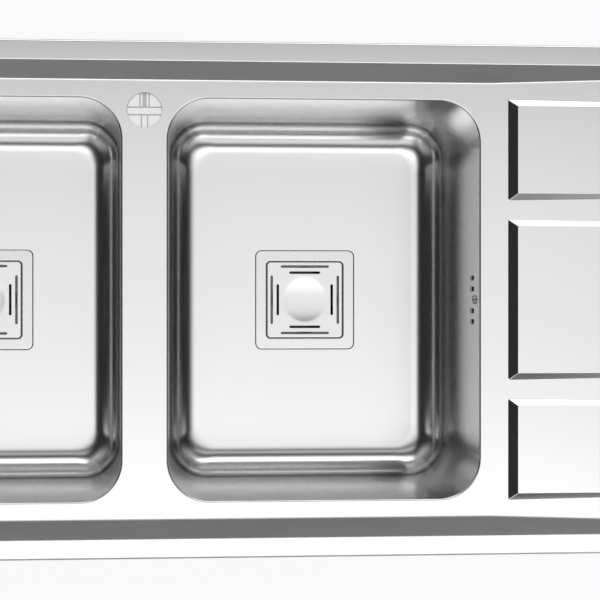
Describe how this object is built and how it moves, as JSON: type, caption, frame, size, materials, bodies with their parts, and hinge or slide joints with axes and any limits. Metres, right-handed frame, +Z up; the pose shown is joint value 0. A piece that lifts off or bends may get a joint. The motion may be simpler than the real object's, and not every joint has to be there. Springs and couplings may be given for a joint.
{
  "type": "inset kitchen sink",
  "caption": "Inset stainless kitchen sink: equal deep bowls with square strainers and overflows, a raised-pad drainer on the right, a tap hole, and swing clips under the rim.",
  "frame": {"origin": "middle of the sink, on the worktop's upper face, in the worktop's cut-out", "axes": "+X along the sink towards the drainer, +Y to the back, where the tap stands, +Z up"},
  "size_m": [1.16, 0.52, 0.305],
  "materials": {
    "sheet_steel": "satin stainless sheet",
    "waste_steel": "satin stainless pressing",
    "lid_steel": "polished stainless plate",
    "rail_steel": "zinc-plated folded steel",
    "clip_steel": "zinc-plated spring steel",
    "screw_steel": "zinc-plated machine screws",
    "white_plastic": "white moulded plastic",
    "waste_plastic": "off-white moulded plastic",
    "gasket_rubber": "black rubber",
    "seal_foam": "dark grey sealing foam",
    "damper_rubber": "dark bitumen-rubber pad",
    "insert_brass": "turned brass"
  },
  "bodies": {
    "root": {"sink_deck": "sheet_steel", "left_bowl": "sheet_steel", "right_bowl": "sheet_steel", "left_waste_flange": "waste_steel", "right_waste_flange": "waste_steel", "rail_front": "rail_steel", "rail_back": "rail_steel", "rail_left": "rail_steel", "rail_right": "rail_steel", "drainer_braces": "rail_steel", "clip_screws": "screw_steel", "clip_nuts": "screw_steel", "waste_screws": "screw_steel", "overflow_screws": "screw_steel", "tap_stiffener": "white_plastic", "left_waste_body": "waste_plastic", "right_waste_body": "waste_plastic", "left_overflow_housing": "waste_plastic", "right_overflow_housing": "waste_plastic", "left_overflow_pipe": "waste_plastic", "right_overflow_pipe": "waste_plastic", "overflow_nuts": "waste_plastic", "left_upper_gasket": "gasket_rubber", "right_upper_gasket": "gasket_rubber", "left_lower_gasket": "gasket_rubber", "right_lower_gasket": "gasket_rubber", "left_overflow_gasket": "gasket_rubber", "right_overflow_gasket": "gasket_rubber", "rim_seal": "seal_foam", "left_bowl_dampers": "damper_rubber", "right_bowl_dampers": "damper_rubber", "waste_inserts": "insert_brass"},
    "left_basket": {"left_basket": "waste_steel", "left_basket_knob": "waste_plastic"},
    "left_lid": {"left_strainer_lid": "lid_steel"},
    "right_basket": {"right_basket": "waste_steel", "right_basket_knob": "waste_plastic"},
    "right_lid": {"right_strainer_lid": "lid_steel"},
    "tap_plug": {"tap_hole_plug": "white_plastic"},
    "back_clip_left": {"back_clip_left": "clip_steel"},
    "front_clip_left": {"front_clip_left": "clip_steel"},
    "back_clip_middle": {"back_clip_middle": "clip_steel"},
    "front_clip_middle": {"front_clip_middle": "clip_steel"},
    "back_clip_right": {"back_clip_right": "clip_steel"},
    "front_clip_right": {"front_clip_right": "clip_steel"},
    "left_clip_front": {"left_clip_front": "clip_steel"},
    "right_clip_front": {"right_clip_front": "clip_steel"},
    "left_clip_back": {"left_clip_back": "clip_steel"},
    "right_clip_back": {"right_clip_back": "clip_steel"}
  },
  "joints": [
    {"name": "left_basket_lift", "type": "slide", "parent": "root", "child": "left_basket", "axis": [0, 0, 1], "range_m": [0, 0.27]},
    {"name": "left_lid_lift", "type": "slide", "parent": "left_basket", "child": "left_lid", "axis": [0, 0, 1], "range_m": [0, 0.24]},
    {"name": "right_basket_lift", "type": "slide", "parent": "root", "child": "right_basket", "axis": [0, 0, 1], "range_m": [0, 0.27]},
    {"name": "right_lid_lift", "type": "slide", "parent": "right_basket", "child": "right_lid", "axis": [0, 0, 1], "range_m": [0, 0.24]},
    {"name": "tap_plug_lift", "type": "slide", "parent": "root", "child": "tap_plug", "axis": [0, 0, 1], "range_m": [0, 0.03]},
    {"name": "back_clip_left_swing", "type": "hinge", "parent": "root", "child": "back_clip_left", "pos_m": [-0.4408, 0.23475, -0.034], "axis": [0, 0, 1], "range_deg": [0, 90]},
    {"name": "front_clip_left_swing", "type": "hinge", "parent": "root", "child": "front_clip_left", "pos_m": [-0.4408, -0.23475, -0.034], "axis": [0, 0, 1], "range_deg": [0, 90]},
    {"name": "back_clip_middle_swing", "type": "hinge", "parent": "root", "child": "back_clip_middle", "pos_m": [0, 0.23475, -0.034], "axis": [0, 0, 1], "range_deg": [0, 90]},
    {"name": "front_clip_middle_swing", "type": "hinge", "parent": "root", "child": "front_clip_middle", "pos_m": [0, -0.23475, -0.034], "axis": [0, 0, 1], "range_deg": [0, 90]},
    {"name": "back_clip_right_swing", "type": "hinge", "parent": "root", "child": "back_clip_right", "pos_m": [0.4408, 0.23475, -0.034], "axis": [0, 0, 1], "range_deg": [0, 90]},
    {"name": "front_clip_right_swing", "type": "hinge", "parent": "root", "child": "front_clip_right", "pos_m": [0.4408, -0.23475, -0.034], "axis": [0, 0, 1], "range_deg": [0, 90]},
    {"name": "left_clip_front_swing", "type": "hinge", "parent": "root", "child": "left_clip_front", "pos_m": [-0.55475, -0.1196, -0.034], "axis": [0, 0, 1], "range_deg": [0, 90]},
    {"name": "right_clip_front_swing", "type": "hinge", "parent": "root", "child": "right_clip_front", "pos_m": [0.55475, -0.1196, -0.034], "axis": [0, 0, 1], "range_deg": [0, 90]},
    {"name": "left_clip_back_swing", "type": "hinge", "parent": "root", "child": "left_clip_back", "pos_m": [-0.55475, 0.1196, -0.034], "axis": [0, 0, 1], "range_deg": [0, 90]},
    {"name": "right_clip_back_swing", "type": "hinge", "parent": "root", "child": "right_clip_back", "pos_m": [0.55475, 0.1196, -0.034], "axis": [0, 0, 1], "range_deg": [0, 90]}
  ]
}
